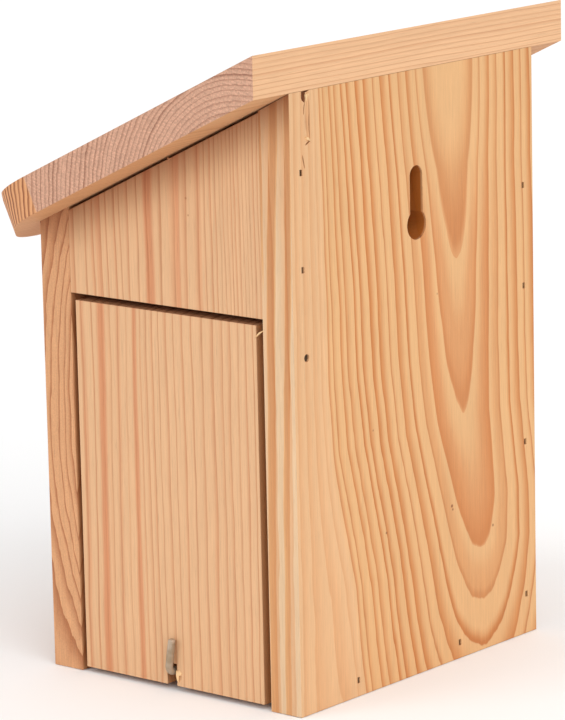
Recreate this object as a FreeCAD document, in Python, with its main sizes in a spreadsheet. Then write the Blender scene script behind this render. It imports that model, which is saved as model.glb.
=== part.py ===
import FreeCAD, Part
import math
import os
from FreeCAD import Placement, Rotation, Vector
import Sketcher

# Side-opening nest box: seven softwood boards nailed together, a hinged side
# door that swings on two nails, and an L-hook that keeps it shut.
#
# Frame: +Z up, the board with the keyhole is at +Y, the board with the
# entrance hole is at -Y, the door side is +X.  Origin at the middle of the
# underside of the whole object's bounding box.  Millimetres.

os.makedirs("parts", exist_ok=True)
doc = FreeCAD.newDocument("NestBox")
sheet = doc.addObject("Spreadsheet::Sheet", "Dims")

# ----------------------------------------------------------------- dimensions
CELLS = [
    ("board", 15.0),                 # thickness of the wall boards and floor
    ("width", 153.0),                # outside width of the box, along X
    ("depth", 128.0),                # outside depth of the box, along Y
    ("back_height", 241.2),          # back board, up to the roof's underside
    ("roof_angle", 25.2),            # fall of the roof toward the front
    ("roof_thick", 14.9),
    ("roof_run", 169.0),             # underside of the roof, along the slope
    ("roof_side", 20.5),             # overhang beyond each side
    ("roof_clip", 33.0),             # the two front corners are cut off at 45 degrees
    ("roof_corner", 33.0),           # radius that eases each end of those cuts
    ("panel_base", 154.0),           # lower edge of the fixed upper panel
    ("panel_gap", 1.6),              # gap between that panel and the roof
    ("door_base", 2.0),
    ("door_head", 151.3),
    ("door_gap_back", 3.5),
    ("door_gap_front", 2.5),
    ("notch_back", 62.9),            # door notch, distance from the back face
    ("notch_front", 68.0),
    ("notch_head", 10.8),
    ("floor_gap", 0.5),              # floor edge to the closed door
    ("entrance_radius", 16.0),
    ("entrance_height", 134.0),
    ("key_radius", 6.0),             # keyhole head
    ("key_height", 180.5),
    ("key_slot", 8.0),               # slot width
    ("key_head", 203.7),             # top of the slot
    ("pivot_height", 139.6),
    ("pivot_radius", 1.1),
    ("pivot_head", 1.5),
    ("pivot_headlen", 1.0),
    ("pivot_length", 40.0),
    ("pivot_play", 0.06),            # radial running clearance in the door
    ("pivot_bore", 26.0),
    ("hook_radius", 1.5),
    ("hook_play", 0.05),
    ("hook_height", 7.5),
    ("hook_offset", 65.5),           # distance from the back face
    ("hook_inside", 15.0),           # length screwed into the floor
    ("hook_stand", 2.1),             # leg axis, outside the door's face
    ("hook_bend", 3.0),
    ("hook_leg", 14.0),
    ("hook_turn", 9.0),              # leg leans toward the back board
    ("brad_wide", 1.4),
    ("brad_deep", 1.6),
    ("brad_head_wide", 1.6),
    ("brad_head_deep", 2.4),
    ("brad_head_len", 1.0),
    ("brad_length", 35.0),
    ("brad_sunk", 0.8),
    ("brad_tip_room", 0.3),
    ("wall_nail_x", 70.0),           # side-wall nails, from the middle plane
    ("panel_nail_x", 70.2),
    ("back_nail_a", 186.0),          # heights on the back board
    ("back_nail_b", 145.0),
    ("back_nail_c", 80.5),
    ("back_nail_d", 16.5),
    ("back_panel_a", 210.5),
    ("back_panel_b", 173.5),
    ("back_floor_x_a", 41.0),
    ("back_floor_x_b", 24.5),
    ("floor_nail_z", 6.5),
    ("front_nail_a", 164.0),         # heights on the front board
    ("front_nail_b", 122.0),
    ("front_nail_c", 70.0),
    ("front_nail_d", 17.0),
    ("front_panel_a", 174.0),
    ("front_panel_b", 161.0),
    ("front_floor_x", 35.0),
    ("side_floor_a", 42.0),          # distance from the back face
    ("side_floor_b", 88.0),
    ("roof_nail_x", 48.0),
    ("roof_nail_back", 12.5),        # along the slope from the back edge
    ("roof_nail_front", 138.5),
]
for row, (alias, number) in enumerate(CELLS, start=1):
    cell = "A%d" % row
    sheet.set(cell, repr(number))
    sheet.setAlias(cell, alias)
doc.recompute()


class Q:
    """A size with its present value and the expression that drives it."""

    def __init__(self, number, text):
        self.n = float(number)
        self.e = text

    @staticmethod
    def of(other):
        return other if isinstance(other, Q) else Q(other, repr(float(other)))

    def __add__(self, o):
        o = Q.of(o)
        return Q(self.n + o.n, "(%s + %s)" % (self.e, o.e))

    __radd__ = __add__

    def __sub__(self, o):
        o = Q.of(o)
        return Q(self.n - o.n, "(%s - %s)" % (self.e, o.e))

    def __rsub__(self, o):
        return Q.of(o) - self

    def __mul__(self, o):
        o = Q.of(o)
        return Q(self.n * o.n, "(%s * %s)" % (self.e, o.e))

    __rmul__ = __mul__

    def __truediv__(self, o):
        o = Q.of(o)
        return Q(self.n / o.n, "(%s / %s)" % (self.e, o.e))

    def __neg__(self):
        return Q(-self.n, "(0 - %s)" % self.e)


D = {alias: Q(number, "Dims." + alias) for alias, number in CELLS}
ANG = math.radians(D["roof_angle"].n)
SIN = Q(math.sin(ANG), "sin(Dims.roof_angle * 1 deg)")
COS = Q(math.cos(ANG), "cos(Dims.roof_angle * 1 deg)")
TAN = Q(math.tan(ANG), "tan(Dims.roof_angle * 1 deg)")
ZERO = Q(0, "0")

# The back face of the box, so that the whole object is centred on Y = 0.
Y_BACK = (D["roof_run"] * COS + D["roof_thick"] * SIN) / 2
HALF = D["width"] / 2
INNER = HALF - D["board"]


# -------------------------------------------------------------------- helpers
def bind(obj, prop, q):
    obj.setExpression(prop, Q.of(q).e)


def place(obj, x=ZERO, y=ZERO, z=ZERO, rotation=None):
    x, y, z = Q.of(x), Q.of(y), Q.of(z)
    obj.Placement = Placement(Vector(x.n, y.n, z.n), rotation or Rotation())
    bind(obj, "Placement.Base.x", x)
    bind(obj, "Placement.Base.y", y)
    bind(obj, "Placement.Base.z", z)


def new_body(label):
    body = doc.addObject("PartDesign::Body", label)
    body.Label = label
    doc.recompute()
    return body


def plane_of(body, role):
    for feature in body.Origin.OriginFeatures:
        if feature.Role == role:
            return feature
    raise RuntimeError("no plane " + role)


def new_sketch(body, name, role, offset=ZERO, shift=None, tilt=None):
    """A sketch on one of the body's own planes, moved along its normal."""
    sk = body.newObject("Sketcher::SketchObject", name)
    sk.AttachmentSupport = [(plane_of(body, role), "")]
    sk.MapMode = "FlatFace"
    offset = Q.of(offset)
    base = Vector(0, 0, offset.n)
    if shift is not None:
        base = Vector(shift[0].n, shift[1].n, offset.n)
    sk.AttachmentOffset = Placement(base, tilt or Rotation())
    bind(sk, "AttachmentOffset.Base.z", offset)
    if shift is not None:
        bind(sk, "AttachmentOffset.Base.x", shift[0])
        bind(sk, "AttachmentOffset.Base.y", shift[1])
    return sk


def drive(sk, kind, args, q, name):
    index = sk.addConstraint(Sketcher.Constraint(kind, *(list(args) + [q.n])))
    sk.renameConstraint(index, name)
    sk.setExpression("Constraints." + name, q.e)


def pin_point(sk, geo, pos, x, y, name):
    """Fix one point from the sketch origin; a zero puts it on the axis."""
    x, y = Q.of(x), Q.of(y)
    if abs(x.n) < 1e-9:
        sk.addConstraint(Sketcher.Constraint("PointOnObject", geo, pos, -2))
    else:
        drive(sk, "DistanceX", (-1, 1, geo, pos), x, name + "x")
    if abs(y.n) < 1e-9:
        sk.addConstraint(Sketcher.Constraint("PointOnObject", geo, pos, -1))
    else:
        drive(sk, "DistanceY", (-1, 1, geo, pos), y, name + "y")


def polygon(sk, points, tag):
    first = sk.GeometryCount
    count = len(points)
    for i in range(count):
        a, b = points[i], points[(i + 1) % count]
        sk.addGeometry(
            Part.LineSegment(
                Vector(Q.of(a[0]).n, Q.of(a[1]).n, 0),
                Vector(Q.of(b[0]).n, Q.of(b[1]).n, 0),
            ),
            False,
        )
    for i in range(count):
        sk.addConstraint(
            Sketcher.Constraint("Coincident", first + i, 2, first + (i + 1) % count, 1)
        )
    for i, (x, y) in enumerate(points):
        pin_point(sk, first + i, 1, x, y, "%s%d" % (tag, i))


def rectangle(sk, cx, cy, wide, tall, tag):
    first = sk.GeometryCount
    cx, cy, wide, tall = Q.of(cx), Q.of(cy), Q.of(wide), Q.of(tall)
    x0, x1 = cx.n - wide.n / 2, cx.n + wide.n / 2
    y0, y1 = cy.n - tall.n / 2, cy.n + tall.n / 2
    corners = [Vector(x0, y0, 0), Vector(x1, y0, 0), Vector(x1, y1, 0), Vector(x0, y1, 0)]
    for i in range(4):
        sk.addGeometry(Part.LineSegment(corners[i], corners[(i + 1) % 4]), False)
    for i in range(4):
        sk.addConstraint(
            Sketcher.Constraint("Coincident", first + i, 2, first + (i + 1) % 4, 1)
        )
    for i, kind in enumerate(("Horizontal", "Vertical", "Horizontal", "Vertical")):
        sk.addConstraint(Sketcher.Constraint(kind, first + i))
    pin_point(sk, first, 1, cx - wide / 2, cy - tall / 2, tag + "p")
    drive(sk, "DistanceX", (first, 1, first, 2), wide, tag + "w")
    drive(sk, "DistanceY", (first + 1, 1, first + 1, 2), tall, tag + "t")


def circle(sk, cx, cy, radius, tag):
    geo = sk.addGeometry(
        Part.Circle(Vector(Q.of(cx).n, Q.of(cy).n, 0), Vector(0, 0, 1), radius.n), False
    )
    pin_point(sk, geo, 3, cx, cy, tag)
    drive(sk, "Radius", (geo,), radius, tag + "r")


def pad(body, sk, length, name, symmetric=False):
    feature = body.newObject("PartDesign::Pad", name)
    feature.Profile = sk
    feature.Type = "Length"
    if symmetric:
        feature.SideType = "Symmetric"
    feature.Length = Q.of(length).n
    bind(feature, "Length", length)
    doc.recompute()
    return feature


def pocket(body, sk, length, name):
    """A pocket that must remove material; it is turned round if it misses."""
    before = body.Shape.Volume
    feature = body.newObject("PartDesign::Pocket", name)
    feature.Profile = sk
    feature.Type = "Length"
    feature.Length = Q.of(length).n
    bind(feature, "Length", length)
    doc.recompute()
    if before - body.Shape.Volume < 0.05:
        feature.Reversed = not feature.Reversed
        doc.recompute()
    if before - body.Shape.Volume < 0.05:
        raise RuntimeError("%s cuts nothing in %s" % (name, body.Label))
    return feature


def brad_holes(body, tag, role, offset, spots, through=None, into=None, shift=None, tilt=None):
    """Slots for brads.  through: a board the brad passes, with its sunk head;
    into: how deep the shank runs in a board behind it."""
    if through is not None:
        heads = new_sketch(body, tag + "_head_slots", role, offset, shift, tilt)
        shanks = new_sketch(body, tag + "_shank_slots", role, offset, shift, tilt)
        for i, (x, y, turned) in enumerate(spots):
            hw, hd = D["brad_head_wide"], D["brad_head_deep"]
            rectangle(heads, x, y, hd if turned else hw, hw if turned else hd, "a%d" % i)
            rectangle(
                shanks, x, y,
                D["brad_deep"] if turned else D["brad_wide"],
                D["brad_wide"] if turned else D["brad_deep"], "b%d" % i)
        pocket(body, heads, D["brad_head_len"] + D["brad_sunk"], tag + "_heads")
        pocket(body, shanks, through, tag + "_shanks")
    if into is not None:
        shanks = new_sketch(body, tag + "_blind_slots", role, offset, shift, tilt)
        for i, (x, y, turned) in enumerate(spots):
            rectangle(
                shanks, x, y,
                D["brad_deep"] if turned else D["brad_wide"],
                D["brad_wide"] if turned else D["brad_deep"], "c%d" % i)
        pocket(body, shanks, into, tag + "_blinds")


# How far a brad's shank runs in the board behind the one it is driven through.
REACH = D["brad_length"] + D["brad_sunk"] - D["board"] + D["brad_tip_room"]
ROOF_REACH = D["brad_length"] + D["brad_sunk"] - D["roof_thick"] + D["brad_tip_room"]

WALL_X = -D["wall_nail_x"]
PANEL_X = D["panel_nail_x"]
BACK_WALL = [(WALL_X, D[k], False) for k in ("back_nail_a", "back_nail_b", "back_nail_c", "back_nail_d")]
BACK_PANEL = [(PANEL_X, D[k], False) for k in ("back_panel_a", "back_panel_b")]
BACK_FLOOR = [(D["back_floor_x_a"], D["floor_nail_z"], False), (-D["back_floor_x_b"], D["floor_nail_z"], False)]
FRONT_WALL = [(WALL_X, D[k], False) for k in ("front_nail_a", "front_nail_b", "front_nail_c", "front_nail_d")]
FRONT_PANEL = [(PANEL_X, D[k], False) for k in ("front_panel_a", "front_panel_b")]
FRONT_FLOOR = [(D["front_floor_x"], D["floor_nail_z"], False), (-D["front_floor_x"], D["floor_nail_z"], False)]
ROOF_BACK = [(D["roof_nail_x"], -D["roof_nail_back"], True), (-D["roof_nail_x"], -D["roof_nail_back"], True)]
ROOF_FRONT = [(D["roof_nail_x"], -D["roof_nail_front"], True), (-D["roof_nail_x"], -D["roof_nail_front"], True)]

# ----------------------------------------------------------------- back board
# Body frame: y = 0 is the rear face, the board lies toward -y.
back = new_body("back_board")
sk = new_sketch(back, "back_section", "YZ_Plane")
polygon(sk, [
    (-D["board"], ZERO), (ZERO, ZERO), (ZERO, D["back_height"]),
    (-D["board"], D["back_height"] - D["board"] * TAN)], "v")
pad(back, sk, D["width"], "back_pad", symmetric=True)

sk = new_sketch(back, "keyhole_head", "XZ_Plane")
circle(sk, ZERO, D["key_height"], D["key_radius"], "h")
pocket(back, sk, D["board"], "keyhole_head_cut")
sk = new_sketch(back, "keyhole_slot", "XZ_Plane")
# A slot: two sides joined to a half-round top, closed inside the head.
half_slot = D["key_slot"] / 2
top_centre = D["key_head"] - half_slot
g0 = sk.addGeometry(Part.LineSegment(Vector(-half_slot.n, D["key_height"].n, 0), Vector(half_slot.n, D["key_height"].n, 0)), False)
g1 = sk.addGeometry(Part.LineSegment(Vector(half_slot.n, D["key_height"].n, 0), Vector(half_slot.n, top_centre.n, 0)), False)
g2 = sk.addGeometry(Part.ArcOfCircle(Part.Circle(Vector(0, top_centre.n, 0), Vector(0, 0, 1), half_slot.n), 0, math.pi), False)
g3 = sk.addGeometry(Part.LineSegment(Vector(-half_slot.n, top_centre.n, 0), Vector(-half_slot.n, D["key_height"].n, 0)), False)
sk.addConstraint(Sketcher.Constraint("Coincident", g0, 2, g1, 1))
sk.addConstraint(Sketcher.Constraint("Coincident", g1, 2, g2, 1))
sk.addConstraint(Sketcher.Constraint("Coincident", g2, 2, g3, 1))
sk.addConstraint(Sketcher.Constraint("Coincident", g3, 2, g0, 1))
sk.addConstraint(Sketcher.Constraint("Horizontal", g0))
sk.addConstraint(Sketcher.Constraint("Vertical", g1))
sk.addConstraint(Sketcher.Constraint("Vertical", g3))
pin_point(sk, g2, 3, ZERO, top_centre, "c")
drive(sk, "Radius", (g2,), half_slot, "slotr")
drive(sk, "DistanceY", (-1, 1, g0, 1), D["key_height"], "slotbase")
pocket(back, sk, D["board"], "keyhole_slot_cut")

brad_holes(back, "back_wall", "XZ_Plane", ZERO, BACK_WALL, through=D["board"])
brad_holes(back, "back_panel", "XZ_Plane", ZERO, BACK_PANEL, through=D["board"])
brad_holes(back, "back_floor", "XZ_Plane", ZERO, BACK_FLOOR, through=D["board"])
sk = new_sketch(back, "pivot_back_head", "XZ_Plane")
circle(sk, HALF - D["board"] / 2, D["pivot_height"], D["pivot_head"], "h")
pocket(back, sk, D["pivot_headlen"] + D["brad_sunk"], "pivot_back_head_cut")
sk = new_sketch(back, "pivot_back_hole", "XZ_Plane")
circle(sk, HALF - D["board"] / 2, D["pivot_height"], D["pivot_radius"], "h")
pocket(back, sk, D["board"], "pivot_back_cut")
# Brads from the roof enter the sloping top edge square to the roof.
brad_holes(back, "roof_back", "XY_Plane", D["back_height"], ROOF_BACK, into=ROOF_REACH,
           shift=(ZERO, ZERO), tilt=Rotation(Vector(1, 0, 0), D["roof_angle"].n))
place(back, ZERO, Y_BACK, ZERO)

# ---------------------------------------------------------------- front board
# Body frame: y = 0 is the box's rear face, as for the other walls.
front = new_body("front_board")
sk = new_sketch(front, "front_section", "YZ_Plane")
front_in = D["depth"] - D["board"]
polygon(sk, [
    (-D["depth"], ZERO), (-front_in, ZERO),
    (-front_in, D["back_height"] - front_in * TAN),
    (-D["depth"], D["back_height"] - D["depth"] * TAN)], "v")
pad(front, sk, D["width"], "front_pad", symmetric=True)
sk = new_sketch(front, "entrance", "XZ_Plane", D["depth"])
circle(sk, ZERO, D["entrance_height"], D["entrance_radius"], "h")
pocket(front, sk, D["board"], "entrance_cut")
brad_holes(front, "front_wall", "XZ_Plane", D["depth"], FRONT_WALL, through=D["board"])
brad_holes(front, "front_panel", "XZ_Plane", D["depth"], FRONT_PANEL, through=D["board"])
brad_holes(front, "front_floor", "XZ_Plane", D["depth"], FRONT_FLOOR, through=D["board"])
sk = new_sketch(front, "pivot_front_head", "XZ_Plane", D["depth"])
circle(sk, HALF - D["board"] / 2, D["pivot_height"], D["pivot_head"], "h")
pocket(front, sk, D["pivot_headlen"] + D["brad_sunk"], "pivot_front_head_cut")
sk = new_sketch(front, "pivot_front_hole", "XZ_Plane", D["depth"])
circle(sk, HALF - D["board"] / 2, D["pivot_height"], D["pivot_radius"], "h")
pocket(front, sk, D["board"], "pivot_front_cut")
brad_holes(front, "roof_front", "XY_Plane", D["back_height"], ROOF_FRONT, into=ROOF_REACH,
           shift=(ZERO, ZERO), tilt=Rotation(Vector(1, 0, 0), D["roof_angle"].n))
place(front, ZERO, Y_BACK, ZERO)

# ------------------------------------------------------- fixed full side wall
# Body frame: x = 0 is the outer face, the board lies toward +x.
wall = new_body("side_wall")
sk = new_sketch(wall, "wall_section", "YZ_Plane")
polygon(sk, [
    (-front_in, ZERO), (-D["board"], ZERO),
    (-D["board"], D["back_height"] - D["board"] * TAN),
    (-front_in, D["back_height"] - front_in * TAN)], "v")
pad(wall, sk, D["board"], "wall_pad")
local_x = HALF - D["wall_nail_x"]
brad_holes(wall, "wall_back", "XZ_Plane", D["board"],
           [(local_x, z, f) for _, z, f in BACK_WALL], into=REACH)
brad_holes(wall, "wall_front", "XZ_Plane", front_in,
           [(local_x, z, f) for _, z, f in FRONT_WALL], into=REACH)
brad_holes(wall, "wall_floor", "YZ_Plane", ZERO,
           [(-D["side_floor_a"], D["floor_nail_z"], False),
            (-D["side_floor_b"], D["floor_nail_z"], False)], through=D["board"])
place(wall, -HALF, Y_BACK, ZERO)

# -------------------------------------------------- fixed panel over the door
# Body frame: x = 0 is the outer face, the board lies toward -x.
panel = new_body("upper_side_panel")
sk = new_sketch(panel, "panel_section", "YZ_Plane")
polygon(sk, [
    (-front_in, D["panel_base"]), (-D["board"], D["panel_base"]),
    (-D["board"], D["back_height"] - D["board"] * TAN - D["panel_gap"]),
    (-front_in, D["back_height"] - front_in * TAN - D["panel_gap"])], "v")
pad(panel, sk, D["board"], "panel_pad")
panel.Tip.Reversed = True
doc.recompute()
local_x = D["panel_nail_x"] - HALF
brad_holes(panel, "panel_back", "XZ_Plane", D["board"],
           [(local_x, z, f) for _, z, f in BACK_PANEL], into=REACH)
brad_holes(panel, "panel_front", "XZ_Plane", front_in,
           [(local_x, z, f) for _, z, f in FRONT_PANEL], into=REACH)
place(panel, HALF, Y_BACK, ZERO)

# ----------------------------------------------------------------------- door
# Body frame: x = 0 is the outer face, the board lies toward -x.
door = new_body("side_door")
door_back = D["board"] + D["door_gap_back"]
door_front = front_in - D["door_gap_front"]
sk = new_sketch(door, "door_outline", "YZ_Plane")
polygon(sk, [
    (-door_front, D["door_base"]), (-D["notch_front"], D["door_base"]),
    (-D["notch_front"], D["notch_head"]), (-D["notch_back"], D["notch_head"]),
    (-D["notch_back"], D["door_base"]), (-door_back, D["door_base"]),
    (-door_back, D["door_head"]), (-door_front, D["door_head"])], "v")
pad(door, sk, D["board"], "door_pad")
door.Tip.Reversed = True
doc.recompute()
for side, plane_y in (("back", door_back), ("front", door_front)):
    sk = new_sketch(door, "pivot_bore_" + side, "XZ_Plane", plane_y)
    circle(sk, -D["board"] / 2, D["pivot_height"], D["pivot_radius"] + D["pivot_play"], "h")
    pocket(door, sk, D["pivot_bore"], "pivot_bore_%s_cut" % side)
place(door, HALF, Y_BACK, ZERO)

# ---------------------------------------------------------------------- floor
# Body frame: y = 0 is the box's rear face.
floor = new_body("floor_board")
sk = new_sketch(floor, "floor_outline", "XY_Plane")
floor_edge = INNER - D["floor_gap"]
polygon(sk, [
    (-INNER, -front_in), (floor_edge, -front_in),
    (floor_edge, -D["board"]), (-INNER, -D["board"])], "v")
pad(floor, sk, D["board"], "floor_pad")
brad_holes(floor, "floor_back", "XZ_Plane", D["board"], BACK_FLOOR, into=REACH)
brad_holes(floor, "floor_front", "XZ_Plane", front_in, FRONT_FLOOR, into=REACH)
brad_holes(floor, "floor_side", "YZ_Plane", -INNER,
           [(-D["side_floor_a"], D["floor_nail_z"], False),
            (-D["side_floor_b"], D["floor_nail_z"], False)], into=REACH)
sk = new_sketch(floor, "hook_bore", "YZ_Plane", floor_edge)
circle(sk, -D["hook_offset"], D["hook_height"], D["hook_radius"] + D["hook_play"], "h")
pocket(floor, sk, D["hook_inside"] + 1.0, "hook_bore_cut")
place(floor, ZERO, Y_BACK, ZERO)

# ----------------------------------------------------------------------- roof
# Body frame: z = 0 is the underside, y runs up the slope, y = 0 at the rear.
roof = new_body("roof_board")
sk = new_sketch(roof, "roof_section", "YZ_Plane")
polygon(sk, [
    (-D["roof_run"], ZERO), (ZERO, ZERO),
    (D["roof_thick"] * TAN, D["roof_thick"]), (-D["roof_run"], D["roof_thick"])], "v")
roof_pad = pad(roof, sk, D["width"] + D["roof_side"] * 2, "roof_pad", symmetric=True)
corner_edges = []
for number, edge in enumerate(roof_pad.Shape.Edges, start=1):
    ends = [v.Point for v in edge.Vertexes]
    if all(abs(p.y + D["roof_run"].n) < 1e-6 for p in ends) and abs(ends[0].z - ends[1].z) > 1:
        corner_edges.append("Edge%d" % number)
clip = roof.newObject("PartDesign::Chamfer", "roof_clips")
clip.Base = (roof_pad, corner_edges)
clip.Size = D["roof_clip"].n
bind(clip, "Size", D["roof_clip"])
roof.Tip = clip
doc.recompute()
clip_edges = []
for number, edge in enumerate(clip.Shape.Edges, start=1):
    ends = [v.Point for v in edge.Vertexes]
    upright = (len(ends) == 2 and abs(ends[0].x - ends[1].x) < 1e-6
               and abs(ends[0].y - ends[1].y) < 1e-6)
    if upright and ends[0].y < -(D["roof_run"].n - D["roof_clip"].n) + 1e-6:
        clip_edges.append("Edge%d" % number)
if len(clip_edges) != 4:
    raise RuntimeError("roof clip edges %r" % clip_edges)
rounding = roof.newObject("PartDesign::Fillet", "roof_corners")
rounding.Base = (clip, clip_edges)
rounding.Radius = D["roof_corner"].n
bind(rounding, "Radius", D["roof_corner"])
roof.Tip = rounding
doc.recompute()
brad_holes(roof, "roof_back", "XY_Plane", D["roof_thick"], ROOF_BACK, through=D["roof_thick"])
brad_holes(roof, "roof_front", "XY_Plane", D["roof_thick"], ROOF_FRONT, through=D["roof_thick"])
place(roof, ZERO, Y_BACK, D["back_height"], Rotation(Vector(1, 0, 0), D["roof_angle"].n))
bind(roof, "Placement.Rotation.Angle", Q(D["roof_angle"].n, "Dims.roof_angle * 1 deg"))

# ------------------------------------------------------------ L-hook (latch)
# Body frame: the shank lies along x, its axis at z = 0; the leg rises at the
# outer end.  x = 0 is the outer face of the door.
hook = new_body("latch_hook")
shank_start = -(D["board"] + D["floor_gap"] + D["hook_inside"])
bend_start = D["hook_stand"] - D["hook_bend"]
route = new_sketch(hook, "hook_route", "XZ_Plane")
r0 = route.addGeometry(Part.LineSegment(Vector(shank_start.n, 0, 0), Vector(bend_start.n, 0, 0)), False)
r1 = route.addGeometry(Part.ArcOfCircle(
    Part.Circle(Vector(bend_start.n, D["hook_bend"].n, 0), Vector(0, 0, 1), D["hook_bend"].n),
    -math.pi / 2, 0), False)
r2 = route.addGeometry(Part.LineSegment(
    Vector(D["hook_stand"].n, D["hook_bend"].n, 0), Vector(D["hook_stand"].n, D["hook_leg"].n, 0)), False)
route.addConstraint(Sketcher.Constraint("Tangent", r0, 2, r1, 1))
route.addConstraint(Sketcher.Constraint("Tangent", r1, 2, r2, 1))
route.addConstraint(Sketcher.Constraint("PointOnObject", r0, 1, -1))
route.addConstraint(Sketcher.Constraint("Horizontal", r0))
route.addConstraint(Sketcher.Constraint("Vertical", r2))
drive(route, "DistanceX", (-1, 1, r0, 1), shank_start, "start")
drive(route, "DistanceX", (-1, 1, r2, 2), D["hook_stand"], "stand")
drive(route, "DistanceY", (-1, 1, r2, 2), D["hook_leg"], "leg")
drive(route, "Radius", (r1,), D["hook_bend"], "bend")
wire = new_sketch(hook, "hook_wire", "YZ_Plane", shank_start)
circle(wire, ZERO, ZERO, D["hook_radius"], "w")
doc.recompute()
pipe = hook.newObject("PartDesign::AdditivePipe", "hook_pipe")
pipe.Profile = wire
pipe.Spine = route
doc.recompute()
# The driven end is pointed, the leg's end is lightly chamfered.
tip_edges, leg_edges = [], []
for number, edge in enumerate(pipe.Shape.Edges, start=1):
    if not isinstance(edge.Curve, Part.Circle):
        continue
    c = edge.Curve.Center
    full = abs(edge.Length - 2 * math.pi * D["hook_radius"].n) < 1e-3
    if full and abs(c.x - shank_start.n) < 1e-6:
        tip_edges.append("Edge%d" % number)
    elif full and abs(c.z - D["hook_leg"].n) < 1e-6:
        leg_edges.append("Edge%d" % number)
point = hook.newObject("PartDesign::Chamfer", "hook_point")
point.Base = (pipe, tip_edges)
point.Size = D["hook_radius"].n - 0.4
doc.recompute()
wanted = []
for number, edge in enumerate(point.Shape.Edges, start=1):
    if isinstance(edge.Curve, Part.Circle) and abs(edge.Curve.Center.z - D["hook_leg"].n) < 1e-6:
        wanted.append("Edge%d" % number)
dress = hook.newObject("PartDesign::Chamfer", "hook_leg_end")
dress.Base = (point, wanted)
dress.Size = 0.4
hook.Tip = dress
doc.recompute()
place(hook, HALF, Y_BACK - D["hook_offset"], D["hook_height"],
      Rotation(Vector(-1, 0, 0), D["hook_turn"].n))
bind(hook, "Placement.Rotation.Angle", Q(D["hook_turn"].n, "Dims.hook_turn * 1 deg"))

# ---------------------------------------------------------- door pivot nails
# Each is a lost-head nail: its frame has the head's top at z = 0 and the
# shank toward -z.
def pivot_nail(label, y, turn):
    head = doc.addObject("Part::Cylinder", label + "_head")
    bind(head, "Radius", D["pivot_head"])
    bind(head, "Height", D["pivot_headlen"])
    head.Placement = Placement(Vector(0, 0, -D["pivot_headlen"].n), Rotation())
    bind(head, "Placement.Base.z", -D["pivot_headlen"])
    shank = doc.addObject("Part::Cylinder", label + "_shank")
    bind(shank, "Radius", D["pivot_radius"])
    body_len = D["pivot_length"] - 2.0
    bind(shank, "Height", body_len)
    shank.Placement = Placement(Vector(0, 0, -body_len.n), Rotation())
    bind(shank, "Placement.Base.z", -body_len)
    tip = doc.addObject("Part::Cone", label + "_tip")
    bind(tip, "Radius2", D["pivot_radius"])
    tip.Radius1 = 0.2
    tip.Height = 2.0
    tip.Placement = Placement(Vector(0, 0, -D["pivot_length"].n), Rotation())
    bind(tip, "Placement.Base.z", -D["pivot_length"])
    nail = doc.addObject("Part::MultiFuse", label)
    nail.Label = label
    nail.Shapes = [head, shank, tip]
    nail.Refine = True
    place(nail, HALF - D["board"] / 2, y, D["pivot_height"], turn)
    doc.recompute()
    return nail


TO_BACK = Rotation(Vector(-1, 0, 0), Vector(0, 0, 1), Vector(0, 1, 0))
TO_FRONT = Rotation(Vector(1, 0, 0), Vector(0, 0, 1), Vector(0, -1, 0))
TO_SIDE = Rotation(Vector(0, -1, 0), Vector(0, 0, 1), Vector(-1, 0, 0))
pivot_back = pivot_nail("door_pivot_nail_back", Y_BACK - D["brad_sunk"], TO_BACK)
pivot_front = pivot_nail("door_pivot_nail_front", Y_BACK - D["depth"] + D["brad_sunk"], TO_FRONT)


# ---------------------------------------------------------------- brad groups
# A brad's frame has the surface it is driven into at z = 0, the shank toward
# -z; its T-shaped head is sunk below the surface.
def brad_group(label, spots, turn, x=ZERO, y=ZERO, z=ZERO, tilt_bound=False):
    brads = []
    for i, (px, py, turned) in enumerate(spots):
        px, py = Q.of(px), Q.of(py)
        hw, hd = D["brad_head_wide"], D["brad_head_deep"]
        sw, sd = D["brad_wide"], D["brad_deep"]
        if turned:
            hw, hd, sw, sd = hd, hw, sd, sw
        parts = []
        for kind, w, d, length, top in (
                ("head", hw, hd, D["brad_head_len"], D["brad_sunk"]),
                ("shank", sw, sd, D["brad_length"], D["brad_sunk"])):
            box = doc.addObject("Part::Box", "%s_%s_%d" % (label, kind, i + 1))
            bind(box, "Length", w)
            bind(box, "Width", d)
            bind(box, "Height", length)
            bx, by, bz = px - w / 2, py - d / 2, -(top + length)
            box.Placement = Placement(Vector(bx.n, by.n, bz.n), Rotation())
            bind(box, "Placement.Base.x", bx)
            bind(box, "Placement.Base.y", by)
            bind(box, "Placement.Base.z", bz)
            parts.append(box)
        brad = doc.addObject("Part::MultiFuse", "%s_brad_%d" % (label, i + 1))
        brad.Shapes = parts
        brad.Refine = True
        brads.append(brad)
    group = doc.addObject("Part::Compound", label)
    group.Label = label
    group.Links = brads
    place(group, x, y, z, turn)
    if tilt_bound:
        bind(group, "Placement.Rotation.Angle", Q(D["roof_angle"].n, "Dims.roof_angle * 1 deg"))
    doc.recompute()
    return group


def mirrored(spots):
    return [(-Q.of(a), b, f) for a, b, f in spots]


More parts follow.
